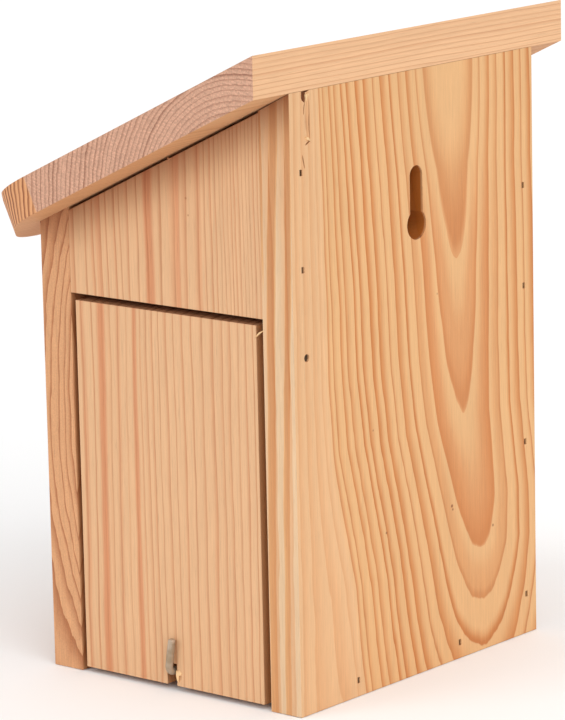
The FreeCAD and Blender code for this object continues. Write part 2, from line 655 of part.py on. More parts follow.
groups = [
    brad_group("nails_back_to_side_wall", mirrored(BACK_WALL), TO_BACK, y=Y_BACK),
    brad_group("nails_back_to_upper_panel", mirrored(BACK_PANEL), TO_BACK, y=Y_BACK),
    brad_group("nails_back_to_floor", mirrored(BACK_FLOOR), TO_BACK, y=Y_BACK),
    brad_group("nails_front_to_side_wall", FRONT_WALL, TO_FRONT, y=Y_BACK - D["depth"]),
    brad_group("nails_front_to_upper_panel", FRONT_PANEL, TO_FRONT, y=Y_BACK - D["depth"]),
    brad_group("nails_front_to_floor", FRONT_FLOOR, TO_FRONT, y=Y_BACK - D["depth"]),
    brad_group("nails_side_to_floor",
               [(D["side_floor_a"], D["floor_nail_z"], False),
                (D["side_floor_b"], D["floor_nail_z"], False)], TO_SIDE, x=-HALF, y=Y_BACK),
    brad_group("nails_roof_to_back", ROOF_BACK, Rotation(Vector(1, 0, 0), D["roof_angle"].n),
               y=Y_BACK - D["roof_thick"] * SIN, z=D["back_height"] + D["roof_thick"] * COS,
               tilt_bound=True),
    brad_group("nails_roof_to_front", ROOF_FRONT, Rotation(Vector(1, 0, 0), D["roof_angle"].n),
               y=Y_BACK - D["roof_thick"] * SIN, z=D["back_height"] + D["roof_thick"] * COS,
               tilt_bound=True),
]

# --------------------------------------------------------------------- export
doc.recompute()
NODES = [back, front, wall, panel, door, floor, roof, hook, pivot_back, pivot_front] + groups
faults = []
for obj in doc.Objects:
    states = [str(s) for s in getattr(obj, "State", [])]
    if "Invalid" in states or "Error" in states:
        faults.append("%s: %s" % (obj.Name, states))
for node in NODES:
    if node.Shape.isNull() or not node.Shape.isValid():
        faults.append("%s: bad shape" % node.Label)
if faults:
    raise RuntimeError("; ".join(faults))
for node in NODES:
    node.Shape.exportStep("parts/%s.step" % node.Label)
    box = node.Shape.BoundBox
    print("%-28s solids %d  volume %10.1f  x %7.2f %7.2f  y %7.2f %7.2f  z %7.2f %7.2f" % (
        node.Label, len(node.Shape.Solids), node.Shape.Volume,
        box.XMin, box.XMax, box.YMin, box.YMax, box.ZMin, box.ZMax))
whole = Part.makeCompound([n.Shape for n in NODES]).BoundBox
print("whole  x %.3f %.3f  y %.3f %.3f  z %.3f %.3f" % (
    whole.XMin, whole.XMax, whole.YMin, whole.YMax, whole.ZMin, whole.ZMax))
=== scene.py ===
import math
import random

import bmesh
import bpy
from mathutils import Matrix, Vector


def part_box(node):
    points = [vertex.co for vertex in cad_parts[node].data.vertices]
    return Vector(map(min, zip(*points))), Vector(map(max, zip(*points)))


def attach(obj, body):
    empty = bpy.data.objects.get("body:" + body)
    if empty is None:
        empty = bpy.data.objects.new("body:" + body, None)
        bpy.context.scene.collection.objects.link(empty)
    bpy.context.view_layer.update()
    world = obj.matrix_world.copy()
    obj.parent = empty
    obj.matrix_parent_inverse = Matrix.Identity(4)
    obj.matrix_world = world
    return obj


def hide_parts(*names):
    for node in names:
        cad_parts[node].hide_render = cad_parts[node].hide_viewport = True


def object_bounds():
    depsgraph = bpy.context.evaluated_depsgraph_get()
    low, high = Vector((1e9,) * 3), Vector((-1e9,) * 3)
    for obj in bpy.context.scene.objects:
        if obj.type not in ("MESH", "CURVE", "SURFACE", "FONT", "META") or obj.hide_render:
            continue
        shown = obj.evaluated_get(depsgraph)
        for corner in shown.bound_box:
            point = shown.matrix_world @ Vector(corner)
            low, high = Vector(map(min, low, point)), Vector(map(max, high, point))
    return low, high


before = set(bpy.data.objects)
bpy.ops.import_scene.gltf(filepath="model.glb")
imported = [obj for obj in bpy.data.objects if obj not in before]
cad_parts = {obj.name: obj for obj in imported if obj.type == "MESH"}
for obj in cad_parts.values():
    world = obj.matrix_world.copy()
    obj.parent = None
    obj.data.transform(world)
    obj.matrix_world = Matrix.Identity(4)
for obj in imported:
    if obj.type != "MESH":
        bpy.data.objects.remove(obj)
CAD_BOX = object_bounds()

# Lengths below are in millimetres in the box's own frame: x and z as in the
# part, and y measured from the rear face of the box (0) toward the front
# (negative).  YB is that rear face in the part's frame.
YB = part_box("back_board")[1][1] * 1000.0
MM = 0.001


def W(x, y, z):
    """A point of the box's own frame, in metres in the part's frame."""
    return Vector((x * MM, (y + YB) * MM, z * MM))


# --------------------------------------------------------------------- camera
scene = bpy.context.scene
scene.view_settings.view_transform = "Standard"
cam_data = bpy.data.cameras.new("camera")
cam = bpy.data.objects.new("camera", cam_data)
scene.collection.objects.link(cam)
scene.camera = cam
CAM_AT = W(1224.285, 945.719, 454.220)
CAM_RIGHT = Vector((-0.63455917, 0.77257931, -0.02135107))
CAM_UP = Vector((-0.1728997, -0.11497765, 0.97820542))
CAM_BACK = CAM_RIGHT.cross(CAM_UP)
cam.matrix_world = Matrix((
    (CAM_RIGHT.x, CAM_UP.x, CAM_BACK.x, CAM_AT.x),
    (CAM_RIGHT.y, CAM_UP.y, CAM_BACK.y, CAM_AT.y),
    (CAM_RIGHT.z, CAM_UP.z, CAM_BACK.z, CAM_AT.z),
    (0, 0, 0, 1)))
cam_data.sensor_fit = "HORIZONTAL"
cam_data.sensor_width = 36.0
cam_data.lens = 4043.3 * 36.0 / 565.0
cam_data.clip_start = 0.05
cam_data.clip_end = 20.0


# ------------------------------------------------------------- node shorthand
class Graph:
    def __init__(self, name):
        self.mat = bpy.data.materials.new(name)
        self.mat.use_nodes = True
        self.nt = self.mat.node_tree
        self.nt.nodes.clear()
        self.out = self.nt.nodes.new("ShaderNodeOutputMaterial")
        self.bsdf = self.nt.nodes.new("ShaderNodeBsdfPrincipled")
        self.nt.links.new(self.bsdf.outputs[0], self.out.inputs["Surface"])

    def plug(self, value, socket):
        if isinstance(value, bpy.types.NodeSocket):
            self.nt.links.new(value, socket)
        elif value is not None:
            socket.default_value = value

    def m(self, op, a, b=None, c=None, clamp=False):
        n = self.nt.nodes.new("ShaderNodeMath")
        n.operation = op
        n.use_clamp = clamp
        for i, v in enumerate((a, b, c)):
            self.plug(v, n.inputs[i])
        return n.outputs[0]

    def add(self, a, b):
        return self.m("ADD", a, b)

    def sub(self, a, b):
        return self.m("SUBTRACT", a, b)

    def mul(self, a, b):
        return self.m("MULTIPLY", a, b)

    def fma(self, a, b, c):
        return self.m("MULTIPLY_ADD", a, b, c)

    def smooth(self, value, low, high):
        n = self.nt.nodes.new("ShaderNodeMapRange")
        n.interpolation_type = "SMOOTHSTEP"
        n.clamp = True
        self.plug(value, n.inputs["Value"])
        self.plug(low, n.inputs["From Min"])
        self.plug(high, n.inputs["From Max"])
        return n.outputs["Result"]

    def vec(self, x, y, z):
        n = self.nt.nodes.new("ShaderNodeCombineXYZ")
        for i, v in enumerate((x, y, z)):
            self.plug(v, n.inputs[i])
        return n.outputs[0]

    def split(self, v):
        n = self.nt.nodes.new("ShaderNodeSeparateXYZ")
        self.plug(v, n.inputs[0])
        return n.outputs[0], n.outputs[1], n.outputs[2]

    def noise(self, vector, scale=1.0, detail=2.0, rough=0.5, distortion=0.0):
        n = self.nt.nodes.new("ShaderNodeTexNoise")
        n.noise_dimensions = "3D"
        self.plug(vector, n.inputs["Vector"])
        n.inputs["Scale"].default_value = scale
        n.inputs["Detail"].default_value = detail
        n.inputs["Roughness"].default_value = rough
        n.inputs["Distortion"].default_value = distortion
        return n.outputs[0]

    def white(self, w):
        n = self.nt.nodes.new("ShaderNodeTexWhiteNoise")
        n.noise_dimensions = "1D"
        self.plug(w, n.inputs["W"])
        return n.outputs["Value"]

    def curve(self, value, points, low, high):
        """Straight-line curve through (x, y) points; returns y."""
        ys = [p[1] for p in points]
        y0, y1 = min(ys), max(ys)
        span = (y1 - y0) or 1.0
        n = self.nt.nodes.new("ShaderNodeFloatCurve")
        c = n.mapping.curves[0]
        pts = sorted(points)
        n.mapping.use_clip = False
        while len(c.points) < len(pts):
            c.points.new(0.5, 0.5)
        for i, (x, y) in enumerate(pts):
            c.points[i].location = ((x - low) / (high - low), (y - y0) / span)
            c.points[i].handle_type = "VECTOR"
        n.mapping.update()
        unit = self.mul(self.sub(value, low), 1.0 / (high - low))
        self.plug(unit, n.inputs["Value"])
        return self.fma(n.outputs[0], span, y0)

    def mix(self, factor, a, b, blend="MIX"):
        n = self.nt.nodes.new("ShaderNodeMix")
        n.data_type = "RGBA"
        n.blend_type = blend
        n.clamp_factor = True
        self.plug(factor, n.inputs[0])
        self.plug(a, n.inputs[6])
        self.plug(b, n.inputs[7])
        return n.outputs[2]

    def grey(self, value):
        return self.vec(value, value, value)

    def scale_colour(self, colour, value):
        n = self.nt.nodes.new("ShaderNodeVectorMath")
        n.operation = "SCALE"
        self.plug(colour, n.inputs[0])
        self.plug(value, n.inputs["Scale"])
        return n.outputs[0]

    def bump(self, height, distance, strength=1.0, normal=None):
        n = self.nt.nodes.new("ShaderNodeBump")
        n.inputs["Strength"].default_value = strength
        n.inputs["Distance"].default_value = distance
        self.plug(height, n.inputs["Height"])
        if normal is not None:
            self.plug(normal, n.inputs["Normal"])
        return n.outputs[0]

    def position(self):
        """x, y, z in millimetres in the box's own frame."""
        t = self.nt.nodes.new("ShaderNodeTexCoord")
        x, y, z = self.split(t.outputs["Object"])
        return self.mul(x, 1000.0), self.fma(y, 1000.0, -YB), self.mul(z, 1000.0)

    def normal(self):
        t = self.nt.nodes.new("ShaderNodeTexCoord")
        return self.split(t.outputs["Normal"])


def srgb(r, g, b):
    def one(v):
        v /= 255.0
        return v / 12.92 if v <= 0.04045 else ((v + 0.055) / 1.055) ** 2.4
    return (one(r), one(g), one(b), 1.0)


# ----------------------------------------------------------------------- wood
# Each board is a block cut from a trunk: growth rings are surfaces round a
# wandering centre line, so face grain, edge grain and end grain agree.
def wood_finish(g, ring, along, a, b, end, early, late, line, end_early, end_late,
                seed=0.0, contrast=1.0, line_amount=0.5, tint=0.05, late_start=0.2,
                sap=None, sap_early=None, sap_late=None, saw=None, end_contrast=1.0,
                rough=0.62, fibre=0.11, dark=None, dark_colour=None, spread=0.5,
                heart=None, heart_colour=None, roof_shadow=None):
    """ring: growth count; along, a, b: mm along and across the grain;
    end: 0 on long grain, 1 on end grain; saw: mm coordinate across saw marks."""
    index = g.m("FLOOR", ring)
    phase = g.m("FRACT", ring)
    r1 = g.white(g.add(index, 11.3 + seed))
    r2 = g.white(g.add(index, 47.7 + seed))
    r3 = g.white(g.add(index, 83.1 + seed))
    start = g.fma(r1, spread, late_start)
    lat = g.smooth(phase, start, 0.93)
    lat = g.mul(lat, g.fma(r2, 0.6, 0.4))
    fall = g.smooth(phase, 0.955, 1.0)
    edge = g.smooth(phase, 0.76, 0.95)
    edge = g.mul(edge, g.fma(r3, 0.65, 0.35))
    keep = g.sub(1.0, fall)
    lat = g.mul(lat, keep)
    edge = g.mul(edge, keep)

    slow = g.noise(g.vec(g.mul(a, 0.03), g.mul(b, 0.03), g.mul(along, 0.006)), 1.0, 2.0)
    band = g.noise(g.vec(g.mul(a, 0.14), g.mul(b, 0.14), g.fma(along, 0.004, seed)), 1.0, 2.0, 0.6)
    streak = g.noise(g.vec(g.mul(a, 0.55), g.mul(b, 0.55), g.mul(along, 0.018)), 1.0, 3.0, 0.6)
    fine = g.noise(g.vec(g.mul(a, 2.2), g.mul(b, 2.2), g.mul(along, 0.055)), 1.0, 3.0, 0.68)
    pore = g.noise(g.vec(g.mul(a, 4.2), g.mul(b, 4.2), g.mul(along, 0.11)), 1.0, 2.0, 0.7)

    def tone(e, l, ln, k, kl):
        c = g.mix(g.mul(lat, k), e, l)
        return g.mix(g.mul(edge, kl), c, ln)

    colour = tone(early, late, line, contrast, line_amount)
    if heart is not None:
        colour = g.mix(heart, colour, g.mix(g.mul(edge, line_amount), heart_colour, line))
    if sap is not None:
        pale = tone(sap_early, sap_late, line, contrast * 0.7, line_amount * 0.25)
        colour = g.mix(sap, colour, pale)
    ends = tone(end_early, end_late, end_late, end_contrast, 0.4 * end_contrast)
    colour = g.mix(end, colour, ends)

    shade = g.fma(g.sub(slow, 0.5), 2.4 * tint, 1.0)
    shade = g.mul(shade, g.fma(g.sub(band, 0.5), 2.2 * tint, 1.0))
    shade = g.mul(shade, g.fma(g.sub(streak, 0.5), 3.0 * tint, 1.0))
    shade = g.mul(shade, g.fma(g.sub(fine, 0.5), 3.2 * fibre, 1.0))
    shade = g.mul(shade, g.sub(1.0, g.mul(g.smooth(pore, 0.60, 0.78), 1.4 * fibre)))
    colour = g.scale_colour(colour, shade)

    height = g.fma(fine, 0.6, g.mul(lat, 0.35))
    height = g.add(height, g.mul(streak, 0.5))
    height = g.sub(height, g.mul(g.smooth(pore, 0.6, 0.75), 0.35))
    if saw is not None:
        wob = g.noise(g.vec(g.mul(a, 0.05), g.mul(b, 0.05), g.mul(along, 0.05)), 1.0, 2.0)
        wave = g.m("SINE", g.mul(g.add(saw, g.mul(wob, 4.0)), 2.0 * math.pi / 1.55))
        pit = g.noise(g.vec(g.mul(a, 1.5), g.mul(b, 1.5), g.mul(along, 1.5)), 1.0, 3.0, 0.8)
        mark = g.mul(g.fma(wave, 0.5, 0.5), g.smooth(pit, 0.3, 0.7))
        colour = g.scale_colour(colour, g.fma(g.mul(g.sub(0.45, mark), end), 0.10, 1.0))
        colour = g.scale_colour(colour, g.fma(g.mul(g.sub(pit, 0.5), end), 1.5, 1.0))
        height = g.add(height, g.mul(g.mul(mark, end), 0.8))
        height = g.add(height, g.mul(g.mul(pit, end), 0.8))
    # painted shadow under the roof: the colour is multiplied toward a dark brown
    if roof_shadow is not None:
        colour = g.mix(roof_shadow, colour, (0.52, 0.38, 0.31, 1.0), "MULTIPLY")
    # dark carries each caller's painted shade (gaps, hollows, cavity faces, roof underside) and real flecks and spots
    if dark is not None:
        colour = g.mix(dark, colour, dark_colour)
    g.plug(colour, g.bsdf.inputs["Base Color"])
    g.plug(g.fma(fine, 0.16, g.fma(lat, -0.08, rough)), g.bsdf.inputs["Roughness"])
    g.bsdf.inputs["Specular IOR Level"].default_value = 0.3
    g.plug(g.bump(height, 0.00025, 0.6), g.bsdf.inputs["Normal"])
    return g.mat


def ring_map(g, r, edges, high):
    """Growth count from distance: one ring between neighbouring edges."""
    pts = [(v, float(i)) for i, v in enumerate(edges)]
    return g.curve(r, pts, 0.0, high)


GOLD = dict(
    early=srgb(226, 177, 125), late=srgb(204, 130, 72), line=srgb(182, 104, 50),
    end_early=srgb(190, 138, 98), end_late=srgb(146, 88, 52))
PEACH = dict(
    early=srgb(219, 174, 132), late=srgb(204, 143, 101), line=srgb(170, 108, 66),
    end_early=srgb(190, 140, 104), end_late=srgb(140, 88, 56))
# deep brown: colour of painted shade in holes, hollows and on faces toward the cavity, and of the back board's flecks
DEEP = srgb(112, 50, 14)
ROOF_TILT = math.radians(25.2)
ROOF_Z = 241.2
# colour of the painted shade on faces toward the cavity
CAVITY_SHADE = srgb(112, 62, 32)


def hypot(g, p, q):
    return g.m("SQRT", g.add(g.mul(p, p), g.mul(q, q)))


def inside(g, value, low, high, soft=0.6):
    """1 between low and high, 0 outside, with soft ends."""
    return g.mul(g.smooth(value, low - soft, low + soft), g.sub(1.0, g.smooth(value, high - soft, high + soft)))


def under_roof(g, y, z):
    """1 at the underside of the roof, fading to 0 a little way below it: the mask of the painted shadow under the roof.
    """
    drop = g.sub(g.mul(y, math.sin(ROOF_TILT)), g.mul(g.sub(z, ROOF_Z), math.cos(ROOF_TILT)))
    k = g.m("SUBTRACT", 1.0, g.mul(drop, 1.0 / 20.0), clamp=True)
    return g.mul(k, k)


def spots(g, u, v, places):
    """Small resin flecks and pinholes: (u, v, radius, strength)."""
    total = None
    for a, b, radius, strength in places:
        d = hypot(g, g.sub(u, a), g.sub(v, b))
        k = g.mul(g.sub(1.0, g.smooth(d, radius * 0.4, radius)), strength)
        total = k if total is None else g.m("MAXIMUM", total, k)
    return total


def back_wood():
    g = Graph("wood_back_board")
    x, y, z = g.position()
    nx, ny, nz = g.normal()
    warp = g.noise(g.vec(g.mul(x, 0.035), g.mul(y, 0.035), g.mul(z, 0.012)), 1.0, 2.0)
    warp2 = g.noise(g.vec(g.mul(x, 0.2), g.mul(y, 0.2), g.mul(z, 0.035)), 1.0, 3.0)
    wz = g.fma(g.sub(warp, 0.5), 5.0, z)
    x0 = g.curve(wz, [(-10, -40.5), (20, -40), (43, -39.5), (63, -36.5), (84, -32), (99, -28.8),
                      (125, -26.5), (165, -25), (240, -21), (260, -20)], -10, 260)
    d0 = g.curve(wz, [(-10, 41), (1.6, 38), (20.7, 32.5), (43, 27.5), (63, 24.6), (99, 21.5),
                      (145, 18), (161.7, 17), (200, 13.4), (225, 8), (250, 3), (262, 1)], -10, 262)
    near = g.smooth(x, 42.0, 76.0)
    x0 = g.mul(x0, g.sub(1.0, near))
    x0 = g.fma(near, -30.0, x0)
    d0 = g.mul(d0, g.sub(1.0, near))
    d0 = g.fma(near, 22.0, d0)
    p = g.sub(x, x0)
    q = g.sub(d0, y)
    r = hypot(g, p, q)
    calm = g.fma(g.smooth(r, 18.0, 55.0), 0.75, 0.25)
    r = g.fma(g.sub(warp, 0.5), 2.2, r)
    r = g.fma(g.mul(g.sub(warp2, 0.5), calm), 1.8, r)
    r = g.add(r, g.mul(g.mul(y, near), 0.95))
    edges = [0, 17, 21.5, 27.5, 32.5, 38, 43.5, 48.2, 54, 58.6, 64, 67.5, 73, 77, 82.5, 86,
             91, 96.5, 102, 107, 113, 117.5, 122, 127, 132]
    ring = ring_map(g, r, edges, 132.0)
    sap = g.smooth(r, 83.5, 88.5)
    heart = g.sub(1.0, g.smooth(r, 25.0, 34.0))
    heart = g.mul(heart, g.sub(1.0, g.smooth(z, 165.0, 215.0)))
    heart = g.mul(heart, g.mul(g.smooth(g.m("FRACT", ring), 0.05, 0.5), 0.55))
    end = g.smooth(g.m("ABSOLUTE", nz), 0.7, 0.95)
    # painted shade: the walls of the routed keyhole and the inner face toward the cavity are darkened where shade falls
    key = g.mul(g.smooth(y, -0.35, -1.3), g.mul(inside(g, x, -6.6, 6.6), inside(g, z, 173.5, 205.0)))
    cavity_shade = g.mul(g.smooth(y, -13.6, -15.0), g.sub(1.0, g.smooth(x, 73.6, 75.4)))
    shade = g.m("MAXIMUM", g.mul(key, 0.95), g.mul(cavity_shade, 0.4))
    lit = g.mul(g.smooth(nx, 0.6, 0.95), g.smooth(x, 74.0, 75.5))
    wy = g.fma(g.sub(warp2, 0.5), 1.4, y)
    first = g.curve(z, [(0, -13.2), (36, -13), (74, -12.5), (120, -11.6), (174, -10.3), (220, -8.3), (260, -7.5)], 0, 260)
    second = g.curve(z, [(0, -6.2), (36, -5.9), (74, -5.3), (120, -4.2), (174, -1.9), (220, -1.4), (260, -1.2)], 0, 260)
    weak = g.fma(g.smooth(z, 30.0, 200.0), 0.55, 0.45)
    for centre, half, amount in ((first, 2.4, g.mul(weak, 0.9)), (second, 1.9, g.mul(weak, 0.95)),
                                 (-14.6, 0.9, g.mul(g.smooth(z, 150.0, 215.0), 0.8))):
        d = g.m("ABSOLUTE", g.sub(wy, centre))
        heart = g.m("MAXIMUM", heart, g.mul(g.mul(g.sub(1.0, g.smooth(d, half * 0.35, half)), amount), lit))
    sap = g.mul(sap, g.sub(1.0, g.mul(lit, g.smooth(heart, 0.0, 0.3))))
    # painted shade inside the torn hollows near the top corner
    torn = g.mul(g.smooth(y, -0.25, -0.9), g.mul(inside(g, x, 62.5, 71.5), inside(g, z, 204.0, 243.0)))
    shade = g.m("MAXIMUM", shade, g.mul(torn, 0.75))
    flecks = spots(g, x, z, [(-20.3, 63.7, 0.9, 0.75), (-20.8, 62.2, 0.7, 0.6), (-47.4, 50.2, 0.8, 0.6),
                             (22.1, 61.6, 0.7, 0.6), (29.4, 104.0, 0.6, 0.4), (-12.5, 151.0, 0.6, 0.35)])
    shade = g.m("MAXIMUM", shade, flecks)
    # colour of the painted shade: orange-brown on the keyhole walls, a deep brown elsewhere; the flecks take the same
    # deep brown
    shade_colour = g.mix(g.smooth(key, 0.0, 0.2), DEEP, srgb(176, 97, 29))
    # painted shadow on the near edge just below the roof
    roof_shadow = g.mul(under_roof(g, y, z), g.smooth(nx, 0.5, 0.9))
    return wood_finish(g, ring, z, x, y, end, sap=sap,
                       sap_early=g.mix(lit, srgb(226, 180, 134), srgb(220, 186, 148)),
                       sap_late=srgb(216, 156, 106), seed=3.0, contrast=1.0, line_amount=0.6,
                       late_start=0.06, spread=0.5, tint=0.05, heart=heart,
                       heart_colour=g.mix(lit, srgb(208, 132, 78), srgb(196, 138, 92)),
                       dark=shade, dark_colour=shade_colour, roof_shadow=roof_shadow,
                       saw=g.add(x, g.mul(y, 0.3)), **GOLD)


def side_wood(name, edges, seed, colours, lean=0.0, tint=0.05, line_amount=0.4, contrast=0.9,
              bands=(), flecks=(), late_start=0.3):
    """Upright stripes on a face that looks along x; y sets the growth count."""
    g = Graph(name)
    x, y, z = g.position()
    nx, ny, nz = g.normal()
    warp = g.noise(g.vec(g.mul(x, 0.03), g.mul(y, 0.03), g.fma(z, 0.008, seed)), 1.0, 2.0)
    warp2 = g.noise(g.vec(g.mul(x, 0.25), g.mul(y, 0.25), g.fma(z, 0.03, seed)), 1.0, 3.0)
    t = g.fma(z, lean, y)
    t = g.fma(g.sub(warp, 0.5), 5.0, t)
    t = g.fma(g.sub(warp2, 0.5), 1.3, t)
    t = g.fma(g.sub(76.5, x), 0.35, t)
    # broad reddish bands of denser wood
    red = None
    for centre, half, amount in bands:
        d = g.m("ABSOLUTE", g.sub(t, centre))
        k = g.mul(g.sub(1.0, g.smooth(d, half * 0.3, half)), amount)
        red = k if red is None else g.m("MAXIMUM", red, k)
    t = g.add(t, 140.0)
    ring = ring_map(g, t, edges, 160.0)
    end = g.smooth(g.m("ABSOLUTE", nz), 0.7, 0.95)
    # painted shade: sides that lie in the gaps, and the face toward the cavity, are darkened where shade falls
    side = g.fma(g.smooth(g.m("ABSOLUTE", ny), 0.6, 0.9), 0.75, g.mul(end, 0.2))
    sunk = g.smooth(x, 76.5, 75.9)
    shade = g.mul(side, sunk)
    shade = g.m("MAXIMUM", shade, g.mul(g.smooth(x, 63.2, 61.6), 0.5))
    # colour of the painted gap shade, browner deeper in the gap; the panel's flecks take it too
    gap_shade_and_fleck_colour = g.mix(g.smooth(x, 76.2, 73.2), srgb(158, 102, 60), srgb(184, 120, 66))
    # painted shadow on the upper panel just below the roof
    roof_shadow = None
    if name == "wood_upper_side_panel":
        roof_shadow = g.mul(under_roof(g, y, z), g.smooth(nx, 0.3, 0.7))
    if flecks:
        shade = g.m("MAXIMUM", shade, spots(g, y, z, flecks))
    return wood_finish(g, ring, z, x, y, end, seed=seed, tint=tint, contrast=contrast,
                       line_amount=line_amount, late_start=late_start, spread=0.5,
                       heart=red, heart_colour=srgb(204, 130, 88), dark=shade, dark_colour=gap_shade_and_fleck_colour,
                       roof_shadow=roof_shadow,
                       saw=g.add(y, g.mul(x, 0.3)), **colours)


def roof_wood():
    g = Graph("wood_roof_board")
    x, y, z = g.position()
    nx, ny, nz = g.normal()
    ca, sa = math.cos(ROOF_TILT), math.sin(ROOF_TILT)
    zz = g.sub(z, ROOF_Z)
    u = g.add(g.mul(y, ca), g.mul(zz, sa))
    v = g.add(g.mul(y, -sa), g.mul(zz, ca))
    warp = g.noise(g.vec(g.mul(u, 0.03), g.mul(v, 0.03), g.mul(x, 0.006)), 1.0, 2.0)
    warp2 = g.noise(g.vec(g.mul(u, 0.2), g.mul(v, 0.2), g.mul(x, 0.02)), 1.0, 3.0)
    r = hypot(g, g.add(u, ROOF_PITH[0]), g.add(v, ROOF_PITH[1]))
    r = g.fma(g.sub(warp, 0.5), 3.0, r)
    r = g.fma(g.sub(warp2, 0.5), 1.1, r)
    ring = g.curve(r, [(0, 0), (40, 22), (50, 27), (60, 32), (80, 41.5), (105, 53), (125, 61), (200, 88)], 0.0, 200.0)
    front = g.smooth(u, -121.9, -122.7)
    end = g.smooth(g.m("ABSOLUTE", nx), 0.9, 0.995)
    # the cut-off corners were planed, so their rings stand out strongly
    corner = g.mul(g.smooth(g.m("ABSOLUTE", nx), 0.2, 0.5), front)
    flat = g.sub(1.0, g.smooth(g.m("ABSOLUTE", nz), 0.6, 0.85))
    corner = g.mul(corner, flat)
    end = g.mul(end, g.sub(1.0, front))
    # painted shade: the underside is darkened where shade falls; the rest is left as it is
    dots = g.add(g.mul(ny, sa), g.mul(nz, -ca))
    underside_shade = g.smooth(dots, 0.5, 0.9)
    shade = g.mul(underside_shade, 0.32)
    seed = 21.0
    mat_args = dict(early=srgb(231, 184, 141), late=srgb(212, 156, 114), line=srgb(172, 108, 68),
                    end_early=srgb(207, 160, 134), end_late=srgb(142, 90, 66))
    index = g.m("FLOOR", ring)
    phase = g.m("FRACT", ring)
    strong = g.mul(g.smooth(phase, 0.3, 0.8), g.sub(1.0, g.smooth(phase, 0.9, 1.0)))
    strong = g.mul(strong, g.fma(g.white(g.add(index, 5.5)), 0.5, 0.5))
    planed = g.mix(strong, srgb(222, 160, 112), srgb(120, 56, 22))
    mat = wood_finish(g, ring, x, u, v, end, seed=seed, tint=0.05, contrast=0.8, line_amount=0.42,
                      dark=shade, dark_colour=srgb(176, 108, 36), end_contrast=0.8,
                      saw=g.add(g.mul(u, 0.75), g.mul(v, 0.9)), **mat_args)
    socket = g.bsdf.inputs["Base Color"]
    plain = socket.links[0].from_socket
    g.plug(g.mix(corner, plain, planed), socket)
    return mat


ROOF_PITH = (23.0, 40.5)


def front_wood():
    g = Graph("wood_front_board")
    x, y, z = g.position()
    nx, ny, nz = g.normal()
    warp = g.noise(g.vec(g.mul(x, 0.03), g.mul(y, 0.05), g.mul(z, 0.012)), 1.0, 2.0)
    # rings dip on the way through the board, so the near edge shows slanted lines
    mid = g.sub(z, 108.0)
    warp2 = g.noise(g.vec(g.mul(x, 0.2), g.mul(y, 0.25), g.mul(z, 0.05)), 1.0, 3.0)
    t = g.sub(y, g.mul(g.mul(mid, mid), 0.0026))
    p = g.sub(x, 8.0)
    q = g.add(t, 150.0)
    r = hypot(g, g.mul(p, 0.62), q)
    r = g.fma(g.sub(warp, 0.5), 6.0, r)
    r = g.fma(g.sub(warp2, 0.5), 1.6, r)
    ring = g.mul(r, 1.0 / 2.1)
    end = g.smooth(g.m("ABSOLUTE", nz), 0.7, 0.95)
    end = g.m("MAXIMUM", end, g.mul(g.smooth(nx, 0.7, 0.95), 0.38))
    # painted shade: the walls of the entrance hole and the inner face toward the cavity are darkened where shade falls
    hole = g.mul(inside(g, x, -16.6, 16.6), inside(g, z, 117.4, 150.6))
    hole = g.mul(hole, g.smooth(y, -126.6, -124.0))
    cavity_shade = g.mul(g.smooth(y, -114.6, -113.0), g.sub(1.0, g.smooth(x, 75.2, 76.2)))
    shade = g.m("MAXIMUM", g.mul(hole, 0.4), g.mul(cavity_shade, 0.6))
    c = dict(early=srgb(218, 162, 116), late=srgb(192, 124, 80), line=srgb(150, 82, 44),
             end_early=srgb(202, 148, 108), end_late=srgb(140, 84, 50))
    # the near edge also gets the painted shadow under the roof
    return wood_finish(g, ring, z, x, y, end, seed=9.0, tint=0.06, contrast=0.9, line_amount=0.65,
                       fibre=0.13, dark=shade, dark_colour=g.mix(hole, srgb(150, 86, 38), DEEP),
                       roof_shadow=g.mul(under_roof(g, y, z), g.mul(g.smooth(nx, 0.5, 0.9), 0.7)),
                       saw=g.add(x, g.mul(y, 0.3)), **c)


def plain_wood(name, seed, colours, axis="z", spacing=4.0, centre=(30.0, 60.0), cavity=0.6):
    """Boards that are mostly hidden: rings round a centre off to one side."""
    g = Graph(name)
    x, y, z = g.position()
    nx, ny, nz = g.normal()
    # painted shade on the inner face toward the cavity, as strong as cavity gives
    if axis == "z":
        along, a, b, n = z, x, y, nz
        cavity_shade = g.smooth(x, -62.4, -61.4)
    else:
        along, a, b, n = x, y, z, nx
        cavity_shade = g.smooth(z, 13.6, 14.8)
    warp = g.noise(g.vec(g.mul(a, 0.03), g.mul(b, 0.03), g.fma(along, 0.008, seed)), 1.0, 2.0)
    drift = g.mul(along, 0.08)
    r = hypot(g, g.add(g.sub(a, centre[0]), drift), g.add(g.sub(b, centre[1]), drift))
    r = g.fma(g.sub(warp, 0.5), 6.0, r)
    ring = g.mul(r, 1.0 / spacing)
    end = g.smooth(g.m("ABSOLUTE", n), 0.7, 0.95)
    return wood_finish(g, ring, along, a, b, end, seed=seed, tint=0.05, contrast=0.9,
                       line_amount=0.5, dark=g.mul(cavity_shade, cavity), dark_colour=CAVITY_SHADE,
                       saw=g.add(a, g.mul(b, 0.3)), **colours)


def metal(name, base, rough, dirt, seed, metallic=0.6):
    g = Graph(name)
    x, y, z = g.position()
    blotch = g.noise(g.vec(g.mul(x, 0.22), g.mul(y, 0.22), g.fma(z, 0.22, seed)), 1.0, 3.0, 0.55)
    grain = g.noise(g.vec(g.mul(x, 5.0), g.mul(y, 5.0), g.mul(z, 5.0)), 1.0, 3.0, 0.6)
    c = g.mix(g.smooth(blotch, 0.35, 0.7), base, dirt)
    c = g.scale_colour(c, g.fma(g.sub(grain, 0.5), 0.14, 1.0))
    g.plug(c, g.bsdf.inputs["Base Color"])
    g.bsdf.inputs["Metallic"].default_value = metallic
    g.plug(g.fma(blotch, 0.3, rough), g.bsdf.inputs["Roughness"])
    g.plug(g.bump(grain, 0.00008, 0.5), g.bsdf.inputs["Normal"])
    return g.mat


